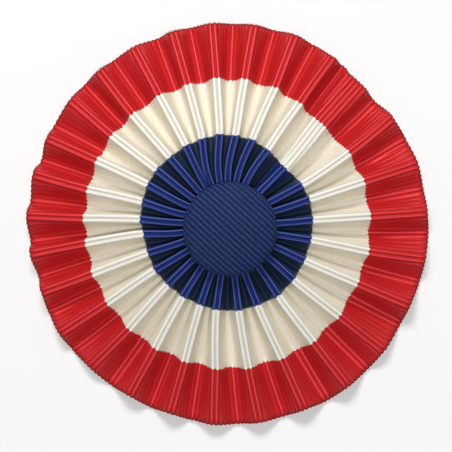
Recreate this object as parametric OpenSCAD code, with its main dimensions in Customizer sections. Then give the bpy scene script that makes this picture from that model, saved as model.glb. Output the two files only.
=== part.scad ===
/* [Disc] */
// Diameter of the whole cockade over its folds
disc_d = 80; // [76:1:90]
// Height of the gathered hub's underside above the surface that the rim lies on
hub_rise = 4.6; // [4.2:0.1:5.5]

/* [Ribbon] */
// Woven width of the ribbon, from the gathered edge to the free edge
ribbon_w = 35; // [33:0.5:35.5]
// Thickness of the solid cloth wall
cloth_t = 1; // [1:0.1:1.3]
// Distance from one woven rib to the next along the ribbon
rib_pitch = 0.95; // [0.85:0.01:1.05]
// Least height of a fold that is pulled wide
fold_least = 1.5; // [1.2:0.1:2]
// Greatest height of a fold, as the button presses them
fold_most = 4.3; // [3.8:0.1:4.6]
// How far the round back of a fold stands above its two edges
fold_crown = 0.2; // [0.1:0.05:0.3]

/* [Button] */
// Diameter of the covered button
button_d = 18.4; // [17:0.1:19]
// Height of the button from its underside to the top of its dome
button_h = 4.8; // [4.6:0.1:6]
// Radius of the sphere that the dome is part of
dome_r = 22; // [21:1:40]
// Radius of the rounded shoulder
shoulder_r = 1.8; // [1.6:0.1:1.9]
// Radius of the rounded lower edge
edge_r = 0.9; // [0.5:0.1:1.2]
// Thickness of the cloth over the button
cover_t = 1; // [0.8:0.1:1.1]
// Radius of the opening in the cloth that is turned under
turn_r = 6; // [5.5:0.1:6.5]
// Radius of the stub that goes through the hub
stub_r = 3.9; // [3:0.1:3.9]
// How far the button sits right of the disc's centre
button_right = 0.4; // [-0.4:0.1:0.4]
// How far the button sits below the disc's centre, seen from the front
button_down = 0.9; // [0:0.1:0.9]

/* [Pin] */
// Length of the pin's bar
bar_l = 24; // [20:0.5:25]
// Width of the pin's bar
bar_w = 4.6; // [4:0.1:5]
// Thickness of the pin's bar
bar_t = 0.7; // [0.6:0.05:0.8]
// Diameter of the needle
needle_d = 0.8; // [0.6:0.05:0.9]
// Width of the hook and of the hinge block along the bar
hook_w = 2.2; // [2:0.1:3]
// Thickness of the hook's sheet metal
hook_t = 0.5; // [0.4:0.05:0.6]
// Height of the hook's upturned lip
hook_lip_h = 1.6; // [1.2:0.1:2]
// Width of the hinge block
block_w = 2.4; // [2:0.1:3]
// How far the needle's tip goes past the hook
needle_past = 1.1; // [0.5:0.1:2]
// Length of the needle's point
point_l = 1.5; // [1:0.1:2]
// Diameter of the needle's very tip
point_d = 0.15; // [0.1:0.05:0.3]
// Clearance between the needle and the hook
needle_clear = 0.15; // [0.1:0.05:0.3]

/* [Fit] */
// Gap left between neighbouring pieces
gap = 0.3; // [0.2:0.05:0.35]
// Gap between the button's cloth and the form inside it
core_gap = 0.25; // [0.2:0.05:0.3]

/* [Hidden] */
round_fn = 96;

// Columns of the fold table: the angle of the fold's back at four places along it,
// anticlockwise from the right, the ribs in the cloth from this fold to the next,
// how much wider than usual the fold's back is, and how far its free edge stands
// beyond the disc's radius
AT_RIM = 0;
AT_RED = 1;
AT_WHITE = 2;
AT_HUB = 3;
RIBS = 4;
WIDER = 5;
REACH = 6;
FOLDS = [
    [3.5, 3.3, 3, 1.5, 11, 0, -0.1],
    [17.5, 17.5, 17, 16, 11, 0, -0.3],
    [33, 30.5, 28, 28, 13, 0, -0.9],
    [48, 48, 45.5, 46, 11, 3, -1.4],
    [58, 59.5, 62, 67, 11, 0, -0.1],
    [70.5, 71, 74, 79, 11, 0, 0.3],
    [82.5, 83.5, 85, 90.5, 11, 0, 0.3],
    [94.5, 94.5, 95, 101, 11, 0, 0.3],
    [106, 106, 106.5, 113, 11, 0, 0],
    [118, 118, 118, 120, 11, 0, 0.3],
    [130, 131, 131, 131, 11, 0, 0.4],
    [141.5, 142.5, 142.5, 143.5, 11, 0, 0.1],
    [154.5, 154, 153.5, 155.5, 11, 0, 0],
    [165.5, 166, 165, 167.5, 11, 0, 0],
    [177.5, 177.5, 176.5, 178, 11, 0, 0.4],
    [188.5, 187.5, 186, 190, 11, 0, -0.2],
    [200, 200, 199.5, 201, 11, 0, -0.2],
    [213, 213, 212, 213, 11, 0, -0.1],
    [226, 226.5, 225, 225, 12, 0, 0],
    [240, 239.5, 238, 238, 11, 0, -0.1],
    [253, 252.5, 251, 251, 11, 0, -0.5],
    [266, 265, 262, 262, 11, 0, -0.2],
    [279, 278, 277, 277, 11, 0, 0.3],
    [292.5, 292, 290, 289, 12, 0, 0.2],
    [306.5, 306, 305, 306, 12, 0, 0.3],
    [321, 320.5, 319.5, 321, 12, 0, 0.1],
    [336, 335.5, 334.5, 335, 12, 0, -0.3],
    [350, 349, 349.5, 348.5, 11, 0, -0.1],
];
fold_n = len(FOLDS);

// Columns of the section table: the place across the ribbon from its gathered edge
// to its free edge, the underside's level as a share of hub_rise, the widths of a
// fold's back and of the trough beside it, and the shares of the fold's height that
// stay open above and below, because the folds are pressed together at the hub
SHARE = 0;
LEVEL = 1;
BACK_W = 2;
TROUGH_W = 3;
OPEN_TOP = 4;
OPEN_UNDER = 5;
SECTIONS = [
    [0, 1, 0.55, 0.25, 0.3, 0],
    [0.11, 1, 0.8, 0.45, 0.95, 0.05],
    [0.22, 1, 1, 0.6, 1, 0.3],
    [0.335, 0.93, 1.2, 0.7, 1, 0.5],
    [0.5, 0.72, 1.45, 0.8, 1, 0.65],
    [0.67, 0.46, 1.75, 0.9, 1, 0.78],
    [0.83, 0.2, 2.05, 0.95, 1, 0.88],
    [0.955, 0, 2.25, 1, 1, 0.94],
    [1, 0, 2.3, 1.05, 1, 0.95],
];
section_n = len(SECTIONS);

// Points of one fold's profile, in order: three on its back, three in the trough
PER_FOLD = 6;
around_n = fold_n * PER_FOLD;
// Most of the distance between folds that a back and a trough may take, and most
// of a back that the underside's corners may move in
BACK_MOST = 0.5;
TROUGH_MOST = 0.3;
SHIFT_MOST = 0.4;

rim_r = disc_d / 2;
// The cloth runs up a shallow cone, so it covers a little less than its width in plan
plan_w = sqrt(pow(ribbon_w, 2) - pow(hub_rise, 2));
hub_hole_r = rim_r - plan_w;
red_r = hub_hole_r + plan_w * 2 / 3;
white_r = hub_hole_r + plan_w / 3;
hub_r = 10;

function section_r(j) = hub_hole_r + plan_w * SECTIONS[j][SHARE];
function turn_of(i) = floor(i / fold_n);
function fold(i) = FOLDS[i - fold_n * turn_of(i)];

// Angle of the back of fold i at radius r; i may run past either end of the table
function back_a(i, r) =
    let (f = fold(i))
    360 * turn_of(i) + lookup(r, [
        [hub_r, f[AT_HUB]],
        [white_r, f[AT_WHITE]],
        [red_r, f[AT_RED]],
        [rim_r, f[AT_RIM]],
    ]);
function trough_a(i, r) = (back_a(i, r) + back_a(i + 1, r)) / 2;

// Plan distance from the back of fold i to the next one on section j
function across(i, j) =
    let (r = section_r(j))
    r * (back_a(i + 1, r) - back_a(i, r)) * PI / 180;

// Backs and troughs are as wide as the section says, or narrower where folds crowd
function back_w(i, j) =
    min(
        SECTIONS[j][BACK_W] + fold(i)[WIDER] * SECTIONS[j][SHARE],
        min(across(i - 1, j), across(i, j)) * BACK_MOST
    );
function trough_w(i, j) = min(SECTIONS[j][TROUGH_W], across(i, j) * TROUGH_MOST);

// Height of the fold from i to i + 1: what is left of its cloth once its plan
// width is spent
function fold_h(i, j) =
    let (flat_w = (back_w(i, j) + back_w(i + 1, j)) / 2 + trough_w(i, j),
         slope_l = (fold(i)[RIBS] * rib_pitch - flat_w) / 2,
         run = (across(i, j) - flat_w) / 2)
    min(sqrt(max(pow(slope_l, 2) - pow(run, 2), pow(fold_least, 2))), fold_most);
function back_h(i, j) = (fold_h(i - 1, j) + fold_h(i, j)) / 2;

function under_z(j) = hub_rise * SECTIONS[j][LEVEL];
function back_top(i, j) = under_z(j) + cloth_t + back_h(i, j);
function trough_top(i, j) =
    under_z(j) + cloth_t + fold_h(i, j) * (1 - SECTIONS[j][OPEN_TOP]);
function back_under(i, j) = under_z(j) + back_h(i, j) * SECTIONS[j][OPEN_UNDER];

// The sloping walls keep their thickness because the underside's corners move
// sideways by the cloth's thickness times the tangent of half the slope
function wall_shift(i, j) =
    let (half = (across(i - 1, j) + across(i, j)) / 4,
         run = half - (back_w(i, j) + trough_w(i, j)) / 2,
         tilt = atan2(back_h(i, j) * SECTIONS[j][OPEN_UNDER], run))
    min(cloth_t * tan(tilt / 2), back_w(i, j) * SHIFT_MOST);

// The free edge stands in or out only near the rim
function reach(i, j) = fold(i)[REACH] * pow(SECTIONS[j][SHARE], 4);

function on_disc(r, a, z) = [r * cos(a), r * sin(a), z];
function width_a(w, r) = w / r * 180 / PI;

// The six points of fold i on section j, on the cloth's upper face
function upper_points(i, j) =
    let (r = section_r(j),
         back = width_a(back_w(i, j) / 2, r),
         dip = width_a(trough_w(i, j) / 2, r),
         b = back_a(i, r),
         t = trough_a(i, r),
         out = r + reach(i, j),
         low = r + (reach(i, j) + reach(i + 1, j)) / 2,
         top = back_top(i, j),
         floor_z = trough_top(i, j))
    [
        on_disc(out, b - back, top),
        on_disc(out, b, top + fold_crown),
        on_disc(out, b + back, top),
        on_disc(low, t - dip, floor_z),
        on_disc(low, t, floor_z),
        on_disc(low, t + dip, floor_z),
    ];

// The same six points on the underside
function under_points(i, j) =
    let (r = section_r(j),
         back = width_a(back_w(i, j) / 2 - wall_shift(i, j), r),
         dip = trough_w(i, j) / 2,
         b = back_a(i, r),
         t = trough_a(i, r),
         out = r + reach(i, j),
         low = r + (reach(i, j) + reach(i + 1, j)) / 2,
         top = back_under(i, j),
         floor_z = under_z(j))
    [
        on_disc(out, b - back, top),
        on_disc(out, b, top),
        on_disc(out, b + back, top),
        on_disc(low, t - width_a(dip + wall_shift(i, j), r), floor_z),
        on_disc(low, t, floor_z),
        on_disc(low, t + width_a(dip + wall_shift(i + 1, j), r), floor_z),
    ];

module pleated_ribbon() {
    upper = [
        for (j = [0:section_n - 1])
            for (i = [0:fold_n - 1])
                each upper_points(i, j)
    ];
    under = [
        for (j = [0:section_n - 1])
            for (i = [0:fold_n - 1])
                each under_points(i, j)
    ];
    first_under = section_n * around_n;
    faces = [
        for (j = [0:section_n - 2])
            for (k = [0:around_n - 1])
                let (next = (k + 1) % around_n,
                     a = j * around_n + k,
                     b = j * around_n + next,
                     c = b + around_n,
                     d = a + around_n)
                each [
                    [a, b, d],
                    [b, c, d],
                    [first_under + b, first_under + a, first_under + d],
                    [first_under + c, first_under + b, first_under + d],
                ],
        for (k = [0:around_n - 1])
            let (next = (k + 1) % around_n,
                 free = (section_n - 1) * around_n)
            each [
                [next, k, first_under + k],
                [first_under + next, next, first_under + k],
                [free + k, free + next, first_under + free + k],
                [free + next, first_under + free + next, first_under + free + k],
            ],
    ];
    color("#c32a2e")
        polyhedron(points = concat(upper, under), faces = faces, convexity = 12);
}

button_r = button_d / 2;
// Last of the ribbon's sections that lie at least partly below the button
HUB_SECTION = 2;
hub_top = fold_crown + max([
    for (j = [0:HUB_SECTION])
        for (i = [0:fold_n - 1])
            back_top(i, j)
]);

// Steps of a rounded corner and of the dome in the button's outline
CORNER_STEPS = 5;
DOME_STEPS = 6;
// Centre height of the shoulder's round and the steepest angle of the dome
dome_a = asin((button_r - shoulder_r) / (dome_r - shoulder_r));
shoulder_z = button_h - dome_r + (dome_r - shoulder_r) * cos(dome_a);

function arc(x, z, r, from_a, to_a, steps) = [
    for (s = [0:steps])
        let (a = from_a + (to_a - from_a) * s / steps)
        [x + r * cos(a), z + r * sin(a)]
];

// The button's side, shoulder and dome up to the axis, drawn inside the outer face
// by the distance inset
function dome_line(inset) =
    concat(
        arc(button_r - shoulder_r, shoulder_z, shoulder_r - inset, 0, 90 - dome_a,
            CORNER_STEPS),
        [
            for (s = [1:DOME_STEPS])
                let (a = dome_a * (1 - s / DOME_STEPS))
                [
                    (dome_r - inset) * sin(a),
                    button_h - dome_r + (dome_r - inset) * cos(a)
                ]
        ]
    );
function backwards(list) = [for (k = [len(list) - 1:-1:0]) list[k]];

module on_hub() {
    translate([button_right, -button_down, hub_top + gap])
        rotate_extrude($fn = round_fn)
            children();
}

module button_cover() {
    color("#2a3768")
        on_hub()
            polygon(concat(
                [[turn_r, 0]],
                arc(button_r - edge_r, edge_r, edge_r, -90, 0, CORNER_STEPS),
                dome_line(0),
                backwards(dome_line(cover_t)),
                [[button_r - cover_t, cover_t], [turn_r, cover_t]]
            ));
}

module button_core() {
    inset = cover_t + core_gap;
    stub_end = hub_rise - hub_top - gap;
    color("#b9bcc2")
        on_hub()
            polygon(concat(
                [[0, stub_end], [stub_r, stub_end], [stub_r, inset]],
                [[button_r - inset, inset]],
                dome_line(inset)
            ));
}

bar_z = hub_rise - gap - bar_t;
// Clearance between the pin's lowest point and the surface that the rim lies on
hook_z = 0.5;
needle_z = hook_z + hook_t + needle_clear + needle_d / 2;
// Places of the hinge block's and the hook's middles along the bar
end_x = bar_l / 2 - bar_w / 2;
needle_l = 2 * end_x + hook_w / 2 + needle_past;
hook_y = needle_d / 2 + needle_clear;

module box_at(x, y, z, size) {
    translate([x - size[0] / 2, y, z])
        cube(size);
}

module pin() {
    color("#c9cbd0") {
        // The bar, with round ends
        translate([-end_x, -bar_w / 2, bar_z])
            cube([2 * end_x, bar_w, bar_t]);
        for (side = [-1, 1])
            translate([side * end_x, 0, bar_z])
                cylinder(d = bar_w, h = bar_t, $fn = round_fn);
        // The hinge block that holds the needle's root
        box_at(-end_x, -block_w / 2, hook_z, [hook_w, block_w, bar_z - hook_z]);
        // The needle and its point
        translate([-end_x, 0, needle_z])
            rotate([0, 90, 0]) {
                cylinder(d = needle_d, h = needle_l - point_l, $fn = round_fn);
                translate([0, 0, needle_l - point_l])
                    cylinder(d1 = needle_d, d2 = point_d, h = point_l, $fn = round_fn);
            }
        // The hook: its wall, its floor under the needle and its upturned lip
        box_at(end_x, hook_y, hook_z, [hook_w, hook_t, bar_z - hook_z]);
        box_at(end_x, -hook_y - hook_t, hook_z, [hook_w, 2 * hook_y + 2 * hook_t, hook_t]);
        box_at(end_x, -hook_y - hook_t, hook_z, [hook_w, hook_t, hook_lip_h]);
    }
}

pleated_ribbon();
button_cover();
button_core();
pin();
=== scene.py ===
"""A pleated ribbon cockade lying on its back, seen straight on from the front."""

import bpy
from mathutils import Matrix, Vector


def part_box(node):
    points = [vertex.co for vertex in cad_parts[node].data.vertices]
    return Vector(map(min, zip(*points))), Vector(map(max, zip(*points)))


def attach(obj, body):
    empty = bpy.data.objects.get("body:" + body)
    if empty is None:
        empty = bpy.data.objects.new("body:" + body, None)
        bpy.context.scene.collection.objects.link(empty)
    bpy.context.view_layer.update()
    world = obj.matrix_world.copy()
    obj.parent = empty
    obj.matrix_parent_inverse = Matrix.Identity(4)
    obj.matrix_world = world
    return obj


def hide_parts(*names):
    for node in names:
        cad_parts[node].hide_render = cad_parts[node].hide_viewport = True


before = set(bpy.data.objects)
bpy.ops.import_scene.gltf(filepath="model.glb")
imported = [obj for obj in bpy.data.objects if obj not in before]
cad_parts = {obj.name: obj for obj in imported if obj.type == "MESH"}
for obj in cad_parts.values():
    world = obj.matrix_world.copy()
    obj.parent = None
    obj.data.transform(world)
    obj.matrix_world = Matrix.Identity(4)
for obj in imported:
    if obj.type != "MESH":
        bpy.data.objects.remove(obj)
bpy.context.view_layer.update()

import math

import bpy
import numpy as np

MM = 0.001
DEG = math.pi / 180

# The disc and the ribbon, in millimetres, as in the solids
RIM_R = 40.0
RIBBON_W = 35.0
HUB_RISE = 4.6
PLAN_W = math.sqrt(RIBBON_W**2 - HUB_RISE**2)
HUB_HOLE_R = RIM_R - PLAN_W
RIB_PITCH = 0.95
FOLD_LEAST = 1.5
FOLD_MOST = 4.3

# The thin cloth that takes the solid ribbon's place: its mean thickness, the height of
# the ribs on the slopes in the blue and white and in the red, and how far the ribs stand
# out at the free edge
CLOTH_T = 0.2
SLOPE_RIB_H = 0.06
RED_SLOPE_RIB_H = 0.11
EDGE_SCALLOP = 0.16

# The button, as in the solids, but for the thickness of its cloth
BUTTON_R = 9.2
BUTTON_H = 4.8
BUTTON_AT = (0.4, -0.9)
DOME_R = 22.0
SHOULDER_R = 1.8
EDGE_R = 0.9
TURN_R = 6.0
COVER_T = 0.5
# The ribs of its cloth, which are rows of beads, each row shifted against the last one
# by a share of a bead; and the direction in which they run, from the right
COVER_RIB_PITCH = 0.93
COVER_RIB_H = 0.18
COVER_BEAD_PITCH = 0.6
COVER_BEAD_SHIFT = 0.37
COVER_RIB_TURN = -42 * DEG
# Points of its mesh around, and steps of its outline on each stretch
COVER_AROUND = 360
DOME_STEPS = 60
SHOULDER_STEPS = 18
EDGE_STEPS = 12
TURN_STEPS = 14

# One row a fold: the angle of its back at the rim, at the red edge, at the white
# edge and at the button, anticlockwise from the right; the ribs in the cloth from it
# to the next fold; how much wider than usual its back is; how far beyond the middle
# between the two folds the trough lies; the radii at which the blue and the white
# stripe end on its back; and the radius of the free edge at the back and at the trough
FOLD_COLUMNS = "rim red white hub ribs wider lean blue_to white_to edge trough_edge".split()
FOLD_ROWS = [
    (3.5, 3.3, 3, 1.5, 11, 0, 0, 16.45, 27.95, 39.7, 39.7),
    (17.5, 17.5, 17, 16, 11, 0, 0.7, 16.5, 28.0, 39.7, 39.45),
    (33, 30.5, 28, 28, 13, 0, 0, 16.25, 27.55, 39.05, 38.3),
    (48, 48, 45.5, 46, 11, 3, 1, 15.5, 26.85, 38.4, 39.15),
    (58, 59.5, 62, 67, 11, 0, 0, 16.4, 27.65, 39.2, 39.75),
    (70.5, 71, 74, 79, 11, 0, 0, 17.1, 28.3, 39.9, 39.9),
    (82.5, 83.5, 85, 90.5, 11, 0, 0, 17.4, 28.6, 39.9, 40.1),
    (94.5, 94.5, 95, 101, 11, 0, 0.7, 17.6, 28.7, 40.0, 40.0),
    (106, 106, 106.5, 113, 11, 0, -1, 17.45, 28.55, 39.75, 39.7),
    (118, 118, 118, 120, 11, 0, 1, 17.35, 28.7, 39.95, 39.95),
    (130, 131, 131, 131, 11, 0, 0, 17.3, 28.55, 39.85, 40.0),
    (141.5, 142.5, 142.5, 143.5, 11, 0, 2.5, 17.6, 28.75, 39.95, 39.95),
    (154.5, 154, 153.5, 155.5, 11, 0, 1, 17.5, 28.7, 39.8, 39.45),
    (165.5, 166, 165, 167.5, 11, 0, 1.5, 17.2, 28.4, 40.0, 39.75),
    (177.5, 177.5, 176.5, 178, 11, 0, 2, 17.1, 28.35, 40.05, 39.6),
    (188.5, 187.5, 186, 190, 11, 0, 1.2, 16.5, 28.15, 39.7, 39.25),
    (200, 200, 199.5, 201, 11, 0, -0.5, 16.45, 28.35, 39.35, 39.9),
    (213, 213, 212, 213, 11, 0, -0.5, 16.75, 28.25, 39.95, 39.9),
    (226, 226.5, 225, 225, 12, 0, 1, 16.55, 28.25, 39.6, 39.7),
    (240, 239.5, 238, 238, 11, 0, 0.5, 16.45, 28.2, 39.25, 39.65),
    (253, 252.5, 251, 251, 11, 0, 0, 16.45, 28.15, 39.25, 39.7),
    (266, 265, 262, 262, 11, 0, 0.5, 16.7, 28.45, 39.9, 39.85),
    (279, 278, 277, 277, 11, 0, 0.5, 16.75, 28.45, 39.85, 39.9),
    (292.5, 292, 290, 289, 12, 0, 0, 16.65, 28.35, 39.8, 40.4),
    (306.5, 306, 305, 306, 12, 0, 0, 16.9, 28.5, 40.1, 40.2),
    (321, 320.5, 319.5, 321, 12, 0, 1.5, 16.6, 28.25, 40.0, 39.8),
    (336, 335.5, 334.5, 335, 12, 0, 0, 16.35, 27.9, 39.55, 39.95),
    (350, 349, 349.5, 348.5, 11, 0, 1, 16.3, 28.0, 39.85, 40.1),
]
FOLDS = {name: np.array(values, float) for name, values in zip(FOLD_COLUMNS, zip(*FOLD_ROWS))}
FOLD_N = len(FOLD_ROWS)

# The fold at which the ribbon's two ends lie on each other: the ribs of the upper end
# before the middle of its back, the ribs of the lower end beyond it, how far up and
# down the two are moved there, and for how much cloth from the middle of the back they
# keep that level and then come back from it
JOINT_FOLD = 3
JOINT_RIBS_BEFORE = 4
JOINT_RIBS_BEYOND = 3
JOINT_UP = 0.35
JOINT_UP_REACH = (4, 3)
JOINT_DOWN = 0.2
JOINT_DOWN_REACH = (3.8, 2.2)

# One row a section of the ribbon, from the gathered edge to the free edge: its place
# across the ribbon, the level of the troughs as a share of the hub's rise, the widths of
# a fold's back and of a trough, the length of cloth that bends from slope to trough, and
# the height of the ribs on the backs
SECTION_COLUMNS = "share level back_w trough_w trough_bend rib_h".split()
SECTION_ROWS = [
    (0, 1.17, 1.0, 0.05, 0.25, 0.14),
    (0.11, 1.17, 1.0, 0.05, 0.25, 0.14),
    (0.22, 1.16, 1.05, 0.05, 0.3, 0.14),
    (0.335, 1.06, 1.1, 0.1, 0.6, 0.16),
    (0.5, 0.8, 1.2, 0.3, 1.2, 0.22),
    (0.67, 0.5, 1.35, 0.4, 1.3, 0.24),
    (0.83, 0.21, 1.6, 0.6, 1.0, 0.25),
    (0.955, 0, 1.8, 0.7, 0.8, 0.25),
    (1, 0, 1.85, 0.7, 0.8, 0.25),
]
SECTIONS = {name: np.array(values, float) for name, values in zip(SECTION_COLUMNS, zip(*SECTION_ROWS))}

# Length over which the sections, and the ends of the stripes, run into each other, as a
# share of the ribbon's width
SECTION_REACH = 0.06
STRIPE_REACH = 0.12

# Length of cloth that bends from a fold's back into its slope: at least, as a share of
# the back's width, and as a share of what a wide fold has more
BEND_LEAST = 0.02
BEND_SHARE = 0.15
WIDE_BEND = 0.4

# Shares of the run from a fold's back to its trough: the most of a back's whole width
# and of a trough's, and the least length of cloth
BACK_MOST = 1.25
TROUGH_MOST = 0.4
CLOTH_LEAST = 1.02

# How much further out than on the backs the stripes end in the troughs
TROUGH_BLUE = 0.1
TROUGH_WHITE = -0.3

# Rows of the mesh across the ribbon, how much closer they lie at its two edges, and
# points on each rib
ROWS = 24
ROWS_CLOSER = 0.02
PER_RIB = 6


def mesh_piece(name, points, faces, material):
    """Makes a smooth mesh from points in millimetres, puts it on the one body and returns it."""
    mesh = bpy.data.meshes.new(name)
    mesh.from_pydata((np.asarray(points) * MM).tolist(), [], [list(map(int, face)) for face in faces])
    mesh.polygons.foreach_set("use_smooth", [True] * len(mesh.polygons))
    mesh.materials.append(material)
    piece = bpy.data.objects.new(name, mesh)
    bpy.context.collection.objects.link(piece)
    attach(piece, "root")
    return piece


def vector_attribute(piece, name, values):
    """Gives each point of a piece a vector, which its material reads by the name."""
    attribute = piece.data.attributes.new(name, "FLOAT_VECTOR", "POINT")
    attribute.data.foreach_set("vector", values.astype(np.float32).ravel())


def eased(x, xs, ys, reach):
    """Linear interpolation whose corners are rounded over the given reach."""
    steps = np.linspace(-reach, reach, 9)
    weights = 1 - np.abs(steps) / (reach * 1.1)
    values = [np.interp(np.asarray(x) + step, xs, ys) for step in steps]
    return sum(w * v for w, v in zip(weights, values)) / weights.sum()


# Materials


def new_material(name):
    material = bpy.data.materials.new(name)
    material.use_nodes = True
    tree = material.node_tree
    return material, tree, tree.nodes["Principled BSDF"]


def node(tree, kind, inputs=None, **settings):
    """Adds a node, sets its properties, and sets or links its inputs by name or number."""
    made = tree.nodes.new("ShaderNode" + kind)
    for key, value in settings.items():
        setattr(made, key, value)
    for key, value in (inputs or {}).items():
        if isinstance(value, bpy.types.NodeSocket):
            tree.links.new(value, made.inputs[key])
        else:
            made.inputs[key].default_value = value
    return made


def math_node(tree, operation, a, b=0.0, c=0.0, clamp=False):
    made = node(tree, "Math", {0: a, 1: b, 2: c}, operation=operation, use_clamp=clamp)
    return made.outputs[0]


def mix_colour(tree, factor, a, b, blend="MIX"):
    made = node(tree, "Mix", data_type="RGBA", blend_type=blend)
    for key, value in {"Factor": factor, "A": a, "B": b}.items():
        socket = next(s for s in made.inputs if s.name == key and s.enabled)
        if isinstance(value, bpy.types.NodeSocket):
            tree.links.new(value, socket)
        else:
            socket.default_value = value
    return next(s for s in made.outputs if s.enabled)


def step_up(tree, value, at, width):
    """0 below the place at, 1 above it, with a soft edge of the given width."""
    made = node(
        tree, "MapRange",
        {"Value": value, "From Min": at - width / 2, "From Max": at + width / 2},
        interpolation_type="SMOOTHSTEP",
    )
    return made.outputs[0]


def noise(tree, vector, scale, detail=2.0, rough=0.5):
    made = node(tree, "TexNoise", {"Vector": vector, "Scale": scale, "Detail": detail, "Roughness": rough})
    return made.outputs["Fac"]


# The three stripes' colours, from the gathered edge to the free edge: of the slopes; deep in
# the troughs, darker in the blue and the white as painted shade; of the ribs on the backs,
# the same cloth in tones set by how light falls there, painted light and shade; and of a thin
# painted highlight line on the crown of each of those ribs; and the tint of their shine. Then
# the tint of the shine deep in the troughs, dimmed there as painted shade, and what the
# slopes' colour is multiplied by in patches
SLOPES = ((0.032, 0.055, 0.115, 1), (0.90, 0.845, 0.72, 1), (0.56, 0.018, 0.022, 1))
TROUGH_SHADE = ((0.026, 0.042, 0.080, 1), (0.82, 0.765, 0.65, 1), (0.56, 0.018, 0.022, 1))
BACKS = ((0.006, 0.015, 0.115, 1), (0.91, 0.86, 0.74, 1), (0.60, 0.019, 0.023, 1))
CROWN_HIGHLIGHTS = ((0.075, 0.105, 0.330, 1), (0.97, 0.955, 0.89, 1), (0.92, 0.050, 0.056, 1))
SHINES = ((0.08, 0.12, 0.35, 1), (0.48, 0.465, 0.44, 1), (1.0, 0.17, 0.17, 1))
DEEP_SHINE = (0.01, 0.012, 0.02, 1)
SLOPE_TINGE = (0.98, 0.97, 0.88, 1)
# Where one stripe gives way to the next: the soft edge's width, how far it wanders and
# how far it steps out on each rib
STRIPE_EDGE = 0.15
STRIPE_WAVE = 0.25
STRIPE_SCALLOP = 0.2
WARP_PITCH = 0.26
# The painted highlight line on a rib's crown: its edge's place and softness, as shares of the way up a rib
HIGHLIGHT_EDGE = 0.78
HIGHLIGHT_SOFT = 0.3
# What the grooves on the backs lose in brightness, as painted shade, and a thin band along the free edge at
# the rim, as a painted shadow line
GROOVE_SHADE_LOSS = 0.4
RIM_SHADOW_LOSS = 0.45
RIM_SHADOW_W = 0.3


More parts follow.
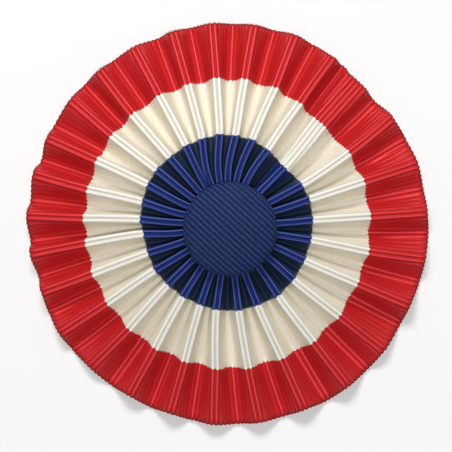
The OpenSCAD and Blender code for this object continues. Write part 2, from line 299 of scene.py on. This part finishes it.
def ribbon_cloth():
    """The woven ribbon: stripes by the place across it, ribs and warp threads, with painted highlights on
    the rib crowns and painted shade in the grooves, in the troughs and along the free edge.

    It reads cloth_mm, the place along and across the ribbon and a third value, which is
    1 where the ribs stand high and -1 deep in the troughs of the blue and the white."""
    material, tree, shader = new_material("ribbon_cloth")
    cloth = node(tree, "Attribute", attribute_name="cloth_mm")
    split = node(tree, "SeparateXYZ", {0: cloth.outputs["Vector"]})
    along, across = split.outputs[0], split.outputs[1]
    raised = math_node(tree, "MAXIMUM", split.outputs[2], 0.0)
    deep = math_node(tree, "MULTIPLY", split.outputs[2], -1.0, clamp=True)

    wave = math_node(tree, "SUBTRACT", noise(tree, cloth.outputs["Vector"], 0.6), 0.5)
    place = math_node(tree, "MULTIPLY_ADD", wave, STRIPE_WAVE * 2, across)
    from_groove = math_node(tree, "PINGPONG", along, RIB_PITCH / 2)
    place = math_node(tree, "MULTIPLY_ADD", from_groove, -STRIPE_SCALLOP * 2 / RIB_PITCH, place)
    in_white = step_up(tree, place, RIBBON_W / 3, STRIPE_EDGE)
    in_red = step_up(tree, place, RIBBON_W * 2 / 3, STRIPE_EDGE)

    def striped(colours):
        return mix_colour(tree, in_red, mix_colour(tree, in_white, colours[0], colours[1]), colours[2])

    up_rib = math_node(tree, "MULTIPLY", from_groove, 2 / RIB_PITCH)
    # Painted highlight: a lighter line on the crown of each raised rib
    crown_highlight = math_node(tree, "MULTIPLY", step_up(tree, up_rib, HIGHLIGHT_EDGE, HIGHLIGHT_SOFT), raised)
    tinge = noise(tree, cloth.outputs["Vector"], 0.22, 1.0)
    slopes = mix_colour(tree, step_up(tree, tinge, 0.5, 0.3), striped(SLOPES), SLOPE_TINGE, "MULTIPLY")
    # Painted shade deep in the troughs, and the backs in a tone of their own as painted light and shade
    colour = mix_colour(tree, raised, mix_colour(tree, deep, slopes, striped(TROUGH_SHADE)), striped(BACKS))
    colour = mix_colour(tree, crown_highlight, colour, striped(CROWN_HIGHLIGHTS))
    # Painted shade on the shine: its tint is dimmed deep in the troughs
    tree.links.new(mix_colour(tree, deep, striped(SHINES), DEEP_SHINE), shader.inputs["Specular Tint"])

    thread = math_node(tree, "SINE", math_node(tree, "MULTIPLY", across, 2 * math.pi / WARP_PITCH))
    uneven = noise(tree, cloth.outputs["Vector"], 1.3, 3.0)
    shade = math_node(tree, "MULTIPLY_ADD", thread, 0.03, 0.97)
    shade = math_node(tree, "MULTIPLY_ADD", math_node(tree, "SUBTRACT", uneven, 0.5), 0.15, shade)
    # Painted shade in the grooves between the ribs on the backs, and a painted shadow line along the free
    # edge
    in_groove = math_node(tree, "POWER", math_node(tree, "SUBTRACT", 1.0, up_rib, clamp=True), 3.0)
    in_groove = math_node(tree, "MULTIPLY", in_groove, raised)
    rim_shadow = step_up(tree, across, RIBBON_W - RIM_SHADOW_W, 0.2)
    for where, loss in ((in_groove, GROOVE_SHADE_LOSS), (rim_shadow, RIM_SHADOW_LOSS)):
        shade = math_node(tree, "MULTIPLY", shade, math_node(tree, "MULTIPLY_ADD", where, -loss, 1.0))
    colour = mix_colour(tree, 1.0, colour, shade, "MULTIPLY")
    tree.links.new(colour, shader.inputs["Base Color"])

    tree.links.new(math_node(tree, "MULTIPLY_ADD", uneven, 0.08, 0.30), shader.inputs["Roughness"])
    shader.inputs["IOR"].default_value = 1.6
    shader.inputs["Specular IOR Level"].default_value = 1.0
    shader.inputs["Anisotropic"].default_value = 1.0
    axis = node(tree, "Attribute", attribute_name="rib_axis")
    tree.links.new(axis.outputs["Vector"], shader.inputs["Tangent"])
    height = math_node(tree, "MULTIPLY_ADD", uneven, 0.3, math_node(tree, "MULTIPLY", thread, 0.5))
    bump = node(tree, "Bump", {"Strength": 0.35, "Distance": 0.03 * MM, "Height": height})
    tree.links.new(bump.outputs[0], shader.inputs["Normal"])
    return material


# The colours of the button's cloth between the beads, darker as painted shade, and on them, lighter as a
# painted highlight
COVER_BEAD_SHADE = (0.004, 0.014, 0.068, 1)
COVER_BEAD_HIGHLIGHT = (0.040, 0.072, 0.20, 1)


def button_cloth():
    """The button's ribbed cloth, lighter on its beads as a painted highlight and darker between them as
    painted shade. The third value of its cloth_mm is the height on a bead.
    """
    material, tree, shader = new_material("button_cloth")
    cloth = node(tree, "Attribute", attribute_name="cloth_mm")
    split = node(tree, "SeparateXYZ", {0: cloth.outputs["Vector"]})
    raised = math_node(tree, "POWER", split.outputs[2], 2.5)
    uneven = noise(tree, cloth.outputs["Vector"], 2.2, 3.0)
    shade = math_node(tree, "MULTIPLY_ADD", math_node(tree, "SUBTRACT", uneven, 0.5), 1.6, 1.0)
    # Painted highlight on the beads, painted shade between them
    colour = mix_colour(tree, 1.0, mix_colour(tree, raised, COVER_BEAD_SHADE, COVER_BEAD_HIGHLIGHT), shade, "MULTIPLY")
    tree.links.new(colour, shader.inputs["Base Color"])
    tree.links.new(math_node(tree, "MULTIPLY_ADD", uneven, 0.2, 0.5), shader.inputs["Roughness"])
    shader.inputs["Specular IOR Level"].default_value = 0.12
    bump = node(tree, "Bump", {"Strength": 0.4, "Distance": 0.04 * MM, "Height": uneven})
    tree.links.new(bump.outputs[0], shader.inputs["Normal"])
    return material


def plain_form():
    """The pale moulded form inside the button, with a fine grain."""
    material, tree, shader = new_material("button_form")
    where = node(tree, "TexCoord").outputs["Object"]
    speck = noise(tree, where, 1800.0, 3.0)
    tree.links.new(mix_colour(tree, speck, (0.50, 0.51, 0.53, 1), (0.60, 0.61, 0.62, 1)),
                   shader.inputs["Base Color"])
    tree.links.new(math_node(tree, "MULTIPLY_ADD", speck, 0.2, 0.4), shader.inputs["Roughness"])
    bump = node(tree, "Bump", {"Strength": 0.2, "Distance": 0.02 * MM, "Height": speck})
    tree.links.new(bump.outputs[0], shader.inputs["Normal"])
    return material


def pin_metal():
    """Plated steel with fine lines along the pin."""
    material, tree, shader = new_material("pin_metal")
    where = node(tree, "TexCoord").outputs["Object"]
    drawn = node(tree, "Mapping", {"Vector": where, "Scale": (60.0, 2600.0, 2600.0)}).outputs[0]
    lines = noise(tree, drawn, 1.0, 3.0)
    tree.links.new(mix_colour(tree, lines, (0.62, 0.62, 0.63, 1), (0.74, 0.74, 0.73, 1)),
                   shader.inputs["Base Color"])
    shader.inputs["Metallic"].default_value = 1.0
    tree.links.new(math_node(tree, "MULTIPLY_ADD", lines, 0.18, 0.2), shader.inputs["Roughness"])
    bump = node(tree, "Bump", {"Strength": 0.15, "Distance": 0.01 * MM, "Height": lines})
    tree.links.new(bump.outputs[0], shader.inputs["Normal"])
    return material


def floor_paper():
    material, tree, shader = new_material("floor_paper")
    where = node(tree, "TexCoord").outputs["Object"]
    tone = noise(tree, where, 30.0)
    tree.links.new(mix_colour(tree, tone, (0.96, 0.96, 0.96, 1), (0.98, 0.98, 0.98, 1)),
                   shader.inputs["Base Color"])
    shader.inputs["Roughness"].default_value = 0.9
    shader.inputs["Specular IOR Level"].default_value = 0.1
    return material


# Camera, light and floor

PIXELS = 452
PX_PER_MM = 5.025
# The disc's centre in the picture, in pixels from the left and from the top
DISC_PX = (228.0, 224.5)
# The camera's distance in metres from the level at which that scale holds, and the
# level's height in millimetres
CAMERA_UP = 0.35
SCALE_Z = 2.0
# Half the floor's side and how far it lies below the rim, in metres
FLOOR_HALF = 1.2
FLOOR_DOWN = 0.00005


def make_camera():
    data = bpy.data.cameras.new("camera")
    field = PIXELS / PX_PER_MM * MM
    data.sensor_width = 36.0
    data.lens = data.sensor_width * CAMERA_UP / field
    data.clip_start = 0.01
    data.clip_end = 10.0
    camera = bpy.data.objects.new("camera", data)
    right = (PIXELS / 2 - DISC_PX[0]) / PX_PER_MM * MM
    up = (DISC_PX[1] - PIXELS / 2) / PX_PER_MM * MM
    camera.location = (right, up, CAMERA_UP + SCALE_Z * MM)
    bpy.context.collection.objects.link(camera)
    bpy.context.scene.camera = camera


def area_light(name, azimuth, from_up, distance, size, strength):
    """A lamp that faces the cockade, its azimuth anticlockwise from the right. The
    strength is the brightness it alone gives a white card that faces it."""
    data = bpy.data.lights.new(name, "AREA")
    data.shape = "RECTANGLE"
    data.size, data.size_y = size
    data.energy = strength * math.pi**2 * distance**2
    lamp = bpy.data.objects.new(name, data)
    level = distance * math.sin(from_up)
    lamp.location = (level * math.cos(azimuth), level * math.sin(azimuth), distance * math.cos(from_up))
    lamp.rotation_mode = "QUATERNION"
    lamp.rotation_quaternion = lamp.location.to_track_quat("Z", "Y")
    bpy.context.collection.objects.link(lamp)


def make_studio():
    area_light("key", 100 * DEG, 47 * DEG, 0.8, (0.36, 0.2), 0.60)
    area_light("front", -70 * DEG, 7 * DEG, 0.9, (0.1, 0.1), 0.44)
    world = bpy.data.worlds.new("studio")
    world.use_nodes = True
    world.node_tree.nodes["Background"].inputs["Color"].default_value = (1, 1, 1, 1)
    world.node_tree.nodes["Background"].inputs["Strength"].default_value = 0.17
    bpy.context.scene.world = world
    bpy.context.scene.view_settings.view_transform = "Standard"


def make_floor():
    half = FLOOR_HALF
    mesh = bpy.data.meshes.new("floor")
    mesh.from_pydata([(-half, -half, 0), (half, -half, 0), (half, half, 0), (-half, half, 0)],
                     [], [(0, 1, 2, 3)])
    mesh.materials.append(floor_paper())
    floor = bpy.data.objects.new("floor", mesh)
    floor.location = (0, 0, -FLOOR_DOWN)
    bpy.context.collection.objects.link(floor)


# The ribbon


def fold_value(name, i):
    """A column's value for fold i, which may run past either end of the table."""
    turns, i = divmod(i, FOLD_N)
    value = FOLDS[name][i]
    return value + 360 * turns if name in ("rim", "red", "white", "hub") else value


# The radii, besides the rim's, at which the angles in the folds' table hold
HUB_R = 10.0
RED_R = HUB_HOLE_R + PLAN_W * 2 / 3
WHITE_R = HUB_HOLE_R + PLAN_W / 3


def back_angle(i, r):
    """Angle in degrees of the back of fold i at the radii r."""
    places = [fold_value(name, i) for name in ("hub", "white", "red", "rim")]
    return eased(r, [HUB_R, WHITE_R, RED_R, RIM_R], places, 2.5)


def trough_angle(i, r):
    middle = (back_angle(i, r) + back_angle(i + 1, r)) / 2
    return middle + FOLDS["lean"][i % FOLD_N] * np.clip((r - HUB_R) / (RIM_R - HUB_R), 0, 1)


def ramp(t, start, length):
    """0 before start, 1 after start + length, and an even bend between."""
    x = np.clip((t - start) / np.maximum(length, 1e-6), 0, 1)
    return x * x * (3 - 2 * x)


def past_blue(share):
    """0 in the blue stripe, 1 beyond it."""
    return ramp(share, 0.3, 0.1)


def in_red_stripe(share):
    """1 in the red stripe, 0 before it."""
    return ramp(share, 0.6, 0.1)


def section(name, share):
    """A column of the sections' table at the places across the ribbon."""
    return eased(share, SECTIONS["share"], SECTIONS[name], SECTION_REACH)


def half_fold(length, run, back_w, back_bend, trough_w, trough_bend, samples):
    """The cloth from the middle of a fold's back down to the middle of its trough.

    All arguments but samples are arrays with a value for each row. Returns the places
    along the run and the depths below the back, one column for each sample. The slope
    is found by halving, so that the cloth's length fits in the run."""
    t = np.linspace(0, 1, samples + 1)[None, :] * length[:, None]
    mid = (t[:, 1:] + t[:, :-1]) / 2
    step = np.diff(t, axis=1)
    down = ramp(mid, (back_w / 2 - back_bend / 2)[:, None], back_bend[:, None])
    up = ramp(mid, (length - trough_w / 2 - trough_bend)[:, None], trough_bend[:, None])
    lean = down * (1 - up)
    low, high = np.zeros(len(length)), np.full(len(length), math.pi / 2)
    for _ in range(40):
        slope = (low + high) / 2
        reach = (np.cos(slope[:, None] * lean) * step).sum(axis=1)
        low = np.where(reach > run, slope, low)
        high = np.where(reach > run, high, slope)
    slope = ((low + high) / 2)[:, None] * lean
    x = np.concatenate([np.zeros((len(length), 1)), np.cumsum(np.cos(slope) * step, axis=1)], axis=1)
    z = np.concatenate([np.zeros((len(length), 1)), np.cumsum(np.sin(slope) * step, axis=1)], axis=1)
    return x * (run / x[:, -1])[:, None], z


def ribbon_sheet():
    """The ribbon's middle surface: arrays of angle, radius, height and cloth place."""
    share = np.linspace(0, 1, ROWS)
    share = share - ROWS_CLOSER * np.sin(2 * math.pi * share)
    r = HUB_HOLE_R + PLAN_W * share
    level = section("level", share) * HUB_RISE
    level = level - level[-1] + CLOTH_T / 2 + SECTIONS["rib_h"][-1]
    back_w, trough_w, trough_bend = [section(name, share) for name in ("back_w", "trough_w", "trough_bend")]
    thirds = np.array([0, 1 / 3, 2 / 3, 1])
    even_r = HUB_HOLE_R + PLAN_W * thirds
    first, last = JOINT_FOLD, JOINT_FOLD + FOLD_N

    halves = {}
    for i in range(first - 1, last + 1):
        ribs = FOLDS["ribs"][i % FOLD_N]
        trough = trough_angle(i, r)
        for side, fold, run in (
            ("after", i, (trough - back_angle(i, r)) * DEG * r),
            ("before", i + 1, (back_angle(i + 1, r) - trough) * DEG * r),
        ):
            wider = FOLDS["wider"][fold % FOLD_N] * share
            room = np.minimum(back_w + wider, run * BACK_MOST)
            bend = BEND_LEAST + BEND_SHARE * room + WIDE_BEND * wider
            length = np.maximum(ribs * RIB_PITCH / 2, run * CLOTH_LEAST)
            low = np.minimum(trough_w, run * TROUGH_MOST)
            samples = int(round(ribs * PER_RIB / 2))
            halves[i, side] = half_fold(length, run, room, bend, low, trough_bend, samples)
    depth = {key: np.clip(z[:, -1], FOLD_LEAST, FOLD_MOST) for key, (x, z) in halves.items()}
    top = {i: level + (depth[i - 1, "before"] + depth[i, "after"]) / 2 for i in range(first, last + 1)}

    def radius_at(blue_to, white_to, edge):
        """The radius of each row, from the radii at which the stripes and the ribbon end."""
        shift = np.array([HUB_HOLE_R, blue_to, white_to, edge]) - even_r
        return (r + eased(share, thirds, shift, STRIPE_REACH))[:, None]

    def fold_radius(i):
        return radius_at(*[FOLDS[name][i % FOLD_N] for name in ("blue_to", "white_to", "edge")])

    def trough_radius(i):
        one, other = i % FOLD_N, (i + 1) % FOLD_N
        blue_to, white_to = [
            (FOLDS[name][one] + FOLDS[name][other]) / 2 for name in ("blue_to", "white_to")
        ]
        return radius_at(blue_to + TROUGH_BLUE, white_to + TROUGH_WHITE, FOLDS["trough_edge"][one])

    def half(i, side, along):
        """One half of a fold, in the order of the ribbon, that starts at the given length."""
        x, z = halves[i, side]
        fall = z / z[:, -1:]
        fold = i if side == "after" else i + 1
        turn = 1 if side == "after" else -1
        angle = back_angle(fold, r)[:, None] + turn * x / r[:, None] / DEG
        height = top[fold][:, None] - (top[fold] - level)[:, None] * fall
        radius = fold_radius(fold) * (1 - fall) + trough_radius(i) * fall
        cloth = (x.shape[1] - 1) * RIB_PITCH / PER_RIB
        place = np.linspace(0, cloth, x.shape[1])
        from_back, from_trough = place / RIB_PITCH, (cloth - place) / RIB_PITCH
        in_red = in_red_stripe(share)[:, None]
        more = FOLDS["wider"][fold % FOLD_N] / 2 / RIB_PITCH
        by_trough = 1 - ramp(from_trough, 0.5, 1)
        # Above 0 where the ribs stand high, on the backs and in the red troughs, and below
        # 0 deep in the other troughs
        raised = np.maximum(1 - ramp(from_back, 1 + more, 1), by_trough * in_red) - by_trough * (1 - in_red)
        place = along + (place if turn > 0 else cloth - place)
        place, raised = [np.broadcast_to(a, angle.shape) for a in (place, raised)]
        return [a[:, ::turn] for a in (angle, radius, height, place, raised)], along + cloth

    # The place along the ribbon is 0 in the middle of the back at the joint
    samples = halves[first - 1, "before"][0].shape[1] - 1
    start, along = half(first - 1, "before", -samples * RIB_PITCH / PER_RIB)
    pieces = [[a[:, -1 - JOINT_RIBS_BEFORE * PER_RIB:-1] for a in start]]
    for i in range(first, last):
        for side in ("after", "before"):
            piece, along = half(i, side, along)
            pieces.append([a[:, :-1] for a in piece])
    length = along
    piece, along = half(last, "after", along)
    pieces.append([a[:, :JOINT_RIBS_BEYOND * PER_RIB + 1] for a in piece])
    angle, radius, height, place, raised = [np.concatenate(parts, axis=1) for parts in zip(*pieces)]
    height = height + JOINT_UP * (1 - ramp(place, *JOINT_UP_REACH))
    level_l, back_l = JOINT_DOWN_REACH
    height = height - JOINT_DOWN * ramp(place, length - level_l - back_l, back_l)
    return {"angle": angle, "r": radius, "z": height, "along": place, "raised": raised}, share


def make_ribbon(material):
    """The ribbed ribbon: the middle surface given its thickness and the relief of its ribs."""
    sheet, share = ribbon_sheet()
    angle, radius = sheet["angle"] * DEG, sheet["r"]
    middle = np.stack([radius * np.cos(angle), radius * np.sin(angle), sheet["z"]], axis=2)
    rows, columns = angle.shape
    # The cloth's own directions, and the normal of its upper side
    along = np.gradient(middle, axis=1)
    across = np.gradient(middle, axis=0)
    normal = np.cross(across, along)
    normal /= np.linalg.norm(normal, axis=2, keepdims=True)
    normal *= np.sign(normal[:, :, 2:3] + 1e-9)

    place = sheet["along"] / RIB_PITCH
    inside = place - np.floor(place + 1e-6)
    crown = 1 - np.abs(2 * inside - 1) ** (2 + past_blue(share))[:, None]
    most = section("rib_h", share)[:, None]
    least = SLOPE_RIB_H + (RED_SLOPE_RIB_H - SLOPE_RIB_H) * in_red_stripe(share)[:, None]
    rib_h = least + (most - least) * np.maximum(sheet["raised"], 0)
    relief = (rib_h * (crown - 0.5))[:, :, None]
    outward = np.stack([np.cos(angle), np.sin(angle), np.zeros_like(angle)], axis=2)
    at_edge = ramp(share, 0.94, 0.06)[:, None]
    middle = middle + outward * (EDGE_SCALLOP * at_edge * (crown - 0.5))[:, :, None]
    upper = middle + normal * (CLOTH_T / 2 + relief)
    lower = middle - normal * (CLOTH_T / 2 + relief)
    points = np.concatenate([upper.reshape(-1, 3), lower.reshape(-1, 3)])
    count = rows * columns

    quads = []
    for j in range(rows - 1):
        for k in range(columns - 1):
            a = j * columns + k
            b, c, d = a + 1, a + 1 + columns, a + columns
            quads.append((a, d, c, b))
            quads.append((count + a, count + b, count + c, count + d))
        a, d = j * columns, (j + 1) * columns
        quads.append((a, count + a, count + d, d))
        a, d = a + columns - 1, d + columns - 1
        quads.append((a, d, count + d, count + a))
    for k in range(columns - 1):
        a, b = k, k + 1
        quads.append((a, b, count + b, count + a))
        a, b = a + (rows - 1) * columns, b + (rows - 1) * columns
        quads.append((b, a, count + a, count + b))
    piece = mesh_piece("ribbon", points, quads, material)
    from_hub = np.broadcast_to(share[:, None] * RIBBON_W, angle.shape)
    flat = np.stack([sheet["along"], from_hub, sheet["raised"]], axis=2)
    axis = across / np.linalg.norm(across, axis=2, keepdims=True)
    vector_attribute(piece, "cloth_mm", np.concatenate([flat, flat]))
    vector_attribute(piece, "rib_axis", np.concatenate([axis, axis]))
    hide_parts("pleated_ribbon")
    return piece


# The button


def cover_profile():
    """The button's outline from the apex round the shoulder to the turned-in edge."""
    dome_a = math.asin((BUTTON_R - SHOULDER_R) / (DOME_R - SHOULDER_R))
    shoulder_z = BUTTON_H - DOME_R + (DOME_R - SHOULDER_R) * math.cos(dome_a)
    steps = []
    for a in np.linspace(0, dome_a, DOME_STEPS):
        steps.append((DOME_R * math.sin(a), BUTTON_H - DOME_R + DOME_R * math.cos(a)))
    for a in np.linspace(dome_a, math.pi / 2, SHOULDER_STEPS)[1:]:
        reach = BUTTON_R - SHOULDER_R + SHOULDER_R * math.sin(a)
        steps.append((reach, shoulder_z + SHOULDER_R * math.cos(a)))
    for a in np.linspace(0, math.pi / 2, EDGE_STEPS):
        steps.append((BUTTON_R - EDGE_R + EDGE_R * math.cos(a), EDGE_R - EDGE_R * math.sin(a)))
    for r in np.linspace(BUTTON_R - EDGE_R, TURN_R, TURN_STEPS)[1:]:
        steps.append((r, 0.0))
    return np.array(steps)


def make_cover(material):
    """The cloth over the button, with ribs that run on from its top down its side."""
    around_n = COVER_AROUND
    profile = cover_profile()[1:]
    line = np.concatenate([[[0.0, BUTTON_H]], profile])
    length = np.cumsum(np.linalg.norm(np.diff(line, axis=0), axis=1))
    tangent = np.gradient(profile, axis=0)
    outward = np.stack([-tangent[:, 1], tangent[:, 0]], axis=1)
    outward /= np.linalg.norm(outward, axis=1, keepdims=True)
    theta = np.arange(around_n) * 2 * math.pi / around_n
    u = length[:, None] * np.cos(theta - COVER_RIB_TURN)
    v = length[:, None] * np.sin(theta - COVER_RIB_TURN)
    rib = v / COVER_RIB_PITCH
    bead = u / COVER_BEAD_PITCH + COVER_BEAD_SHIFT * np.floor(rib)
    in_rib = np.abs(2 * (rib - np.floor(rib)) - 1)
    in_bead = np.abs(2 * (bead - np.floor(bead)) - 1)
    raised = (1 - in_rib**1.5) * (1 - 0.5 * in_bead**2)
    base = hub_level()

    def shell(offset):
        out = offset + COVER_RIB_H * raised
        reach = profile[:, :1] + outward[:, :1] * out
        z = profile[:, 1:] + outward[:, 1:] * out
        return np.stack([
            BUTTON_AT[0] + reach * np.cos(theta),
            BUTTON_AT[1] + reach * np.sin(theta),
            base + z,
        ], axis=2)

    outer = shell(-COVER_RIB_H)
    inner = shell(-COVER_RIB_H - COVER_T)
    rows = len(profile)
    count = rows * around_n
    apex_outer, apex_inner = 2 * count, 2 * count + 1
    points = np.concatenate([
        outer.reshape(-1, 3), inner.reshape(-1, 3),
        [[*BUTTON_AT, base + BUTTON_H]], [[*BUTTON_AT, base + BUTTON_H - COVER_T]],
    ])
    faces = []
    for j in range(rows - 1):
        for k in range(around_n):
            a, b = j * around_n + k, j * around_n + (k + 1) % around_n
            c, d = b + around_n, a + around_n
            faces.append((a, d, c, b))
            faces.append((count + a, count + b, count + c, count + d))
    for k in range(around_n):
        b = (k + 1) % around_n
        faces.append((apex_outer, k, b))
        faces.append((apex_inner, count + b, count + k))
        end = (rows - 1) * around_n
        faces.append((end + b, end + k, count + end + k, count + end + b))
    piece = mesh_piece("button_cloth_cover", points, faces, material)
    flat = np.stack([u, v, raised], axis=2).reshape(-1, 3)
    vector_attribute(piece, "cloth_mm", np.concatenate([flat, flat, [[0, 0, 0], [0, 0, 0]]]))
    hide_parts("button_cover")
    return piece


def hub_level():
    """Height in millimetres of the button's underside."""
    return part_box("button_cover")[0][2] / MM


make_camera()
make_studio()
make_floor()
make_ribbon(ribbon_cloth())
make_cover(button_cloth())
for name, make in (("button_core", plain_form), ("pin", pin_metal)):
    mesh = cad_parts[name].data
    mesh.materials.clear()
    mesh.materials.append(make())
